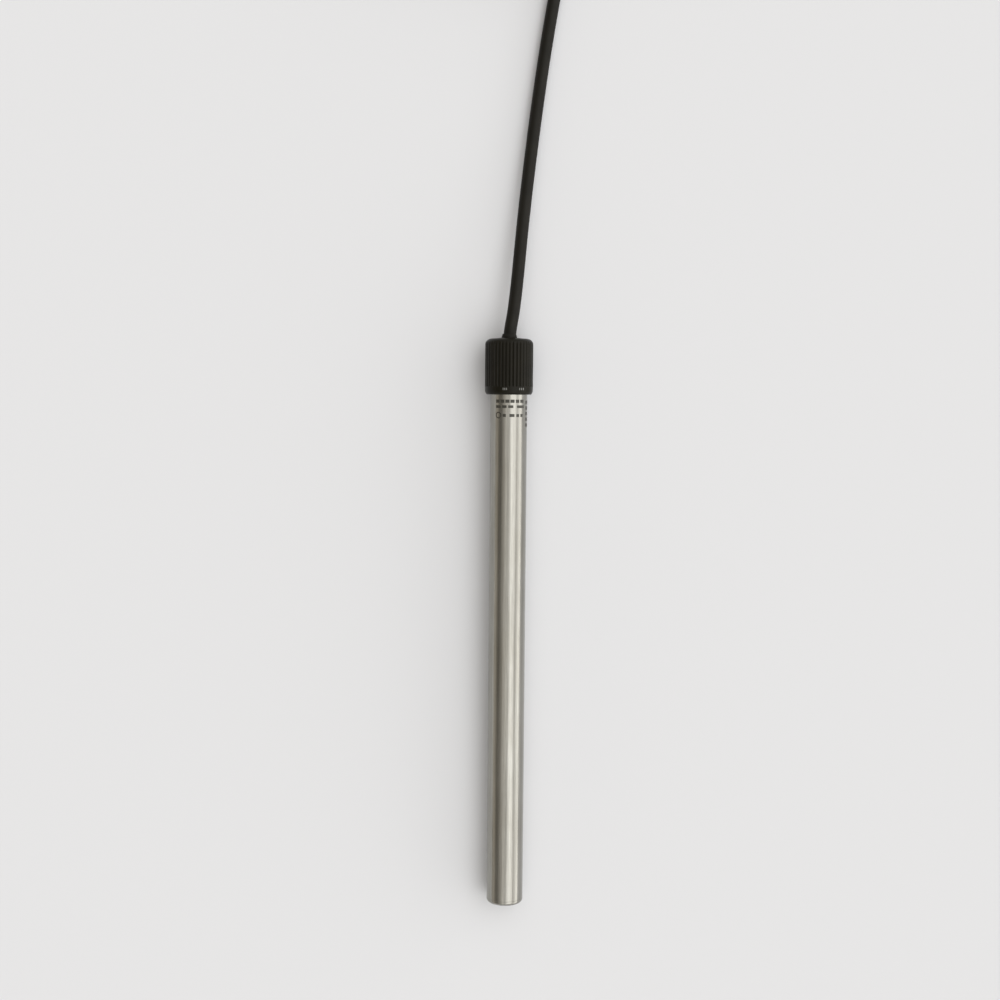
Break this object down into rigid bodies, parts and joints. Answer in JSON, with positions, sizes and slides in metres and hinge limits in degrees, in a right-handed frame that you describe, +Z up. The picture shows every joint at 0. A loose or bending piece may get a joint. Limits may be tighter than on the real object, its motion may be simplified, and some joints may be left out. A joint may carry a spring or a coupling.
{
  "type": "submersible aquarium heater",
  "caption": "Long metal-tube submersible heater with a ribbed black screw cap, a cord gland, a mains lead wound in a coil and a two-pin plug.",
  "frame": {"origin": "on the resting surface, under the middle of the heater's length (tube tip to the top of the cord grommet), measured without its cord", "axes": "+X along the heater from the closed tip to the cap, +Z up from the surface it lies on, +Y to the left seen from the tip"},
  "size_m": [0.9762, 0.1372, 0.0396],
  "materials": {
    "titanium": "drawn and brushed lengthwise, satin warm grey",
    "ceramic": "unglazed, fine matt",
    "resistance_ribbon": "oxidised nickel-chrome, dull",
    "nickel_conductor": "plain drawn nickel",
    "magnesia": "pressed white powder, matt",
    "cutout_cup": "plain pressed aluminium",
    "cutout_case": "dark moulded phenolic",
    "bimetal": "rolled bimetal strip, satin",
    "contact_brass": "stamped brass, clean",
    "contact_silver": "silver contact faces",
    "core_brown": "silicone sleeving, brown",
    "core_blue": "silicone sleeving, blue",
    "core_green_yellow": "silicone sleeving, green and yellow",
    "tinned_metal": "tinned copper and steel, crimped",
    "ferrule_metal": "plain crimped ferrule",
    "cord_rubber": "black rubber sheath, slightly dusty satin",
    "potting": "cast silicone, off-white",
    "collar_plastic": "glass-filled moulding, black",
    "seal_rubber": "moulded rubber, black",
    "washer_plastic": "turned white plastic",
    "cap_plastic": "moulded black plastic, satin, moulded ribs",
    "tie_strap": "soft black strap",
    "boot_rubber": "moulded black, satin",
    "plug_plastic": "moulded black, fine-textured",
    "carrier_plastic": "moulded dark grey, glossy",
    "nickel_plate": "nickel-plated brass"
  },
  "bodies": {
    "heater": {"tube_end_plug": "titanium", "titanium_tube": "titanium", "ceramic_core_1": "ceramic", "ceramic_core_2": "ceramic", "ceramic_core_3": "ceramic", "ceramic_core_4": "ceramic", "heating_winding": "resistance_ribbon", "live_terminal_pin": "nickel_conductor", "neutral_return_rod": "nickel_conductor", "lower_winding_bridge": "nickel_conductor", "upper_winding_bridge": "nickel_conductor", "magnesia_fill": "magnesia", "lower_ceramic_spacer": "ceramic", "upper_ceramic_spacer": "ceramic", "cutout_sensing_cup": "cutout_cup", "cutout_guide_plate": "ceramic", "cutout_switch_base": "cutout_case", "cutout_lid": "cutout_case", "cutout_line_terminal": "contact_brass", "cutout_load_terminal": "contact_brass", "fixed_contact": "contact_silver", "arm_rivet": "contact_brass", "live_link_wire": "core_brown", "live_core": "core_brown", "neutral_core": "core_blue", "earth_core": "core_green_yellow", "live_crimp": "tinned_metal", "neutral_crimp": "tinned_metal", "earth_tag": "tinned_metal", "earth_crimp_barrel": "tinned_metal", "cord_entry": "cord_rubber", "strain_relief_ferrule": "ferrule_metal", "silicone_potting": "potting", "threaded_collar": "collar_plastic", "tube_end_gasket": "seal_rubber", "cap_o_ring": "seal_rubber", "gland_washer": "washer_plastic", "cord_grommet": "seal_rubber", "mains_cord": "cord_rubber", "cord_coil": "cord_rubber", "cord_tail": "cord_rubber", "cord_tie": "tie_strap", "plug_boot": "boot_rubber", "plug_body": "plug_plastic", "plug_pin_carrier": "carrier_plastic", "plug_live_pin": "nickel_plate", "plug_neutral_pin": "nickel_plate", "plug_earth_strips": "nickel_plate"},
    "slip_ring": {"slip_ring": "washer_plastic"},
    "screw_cap": {"screw_cap": "cap_plastic"},
    "cutout_plunger": {"bimetal_disc": "bimetal", "transfer_pin": "ceramic"},
    "contact_arm": {"contact_arm": "contact_brass", "moving_contact": "contact_silver"}
  },
  "joints": [
    {"name": "cap_lift", "type": "slide", "parent": "heater", "child": "slip_ring", "axis": [0.9999, 0, 0.0109], "range_m": [0, 0.0075]},
    {"name": "cap_turn", "type": "hinge", "parent": "slip_ring", "child": "screw_cap", "pos_m": [0.23309, 0, 0.02008], "axis": [0.9999, 0, 0.0109], "range_deg": [0, 1080]},
    {"name": "cutout_pin", "type": "slide", "parent": "heater", "child": "cutout_plunger", "axis": [0.9999, 0, 0.0109], "range_m": [0, 0.0005], "stiffness_N_per_m": 400},
    {"name": "cutout_arm", "type": "hinge", "parent": "heater", "child": "contact_arm", "pos_m": [0.16959, -0.0052, 0.01454], "axis": [0, 1, 0], "range_deg": [0, 6]}
  ],
  "couplings": [
    {"joint": "cap_turn", "follows": "cap_lift", "rad_per_m": 2513.3},
    {"joint": "cutout_arm", "follows": "cutout_pin", "rad_per_m": 206}
  ]
}
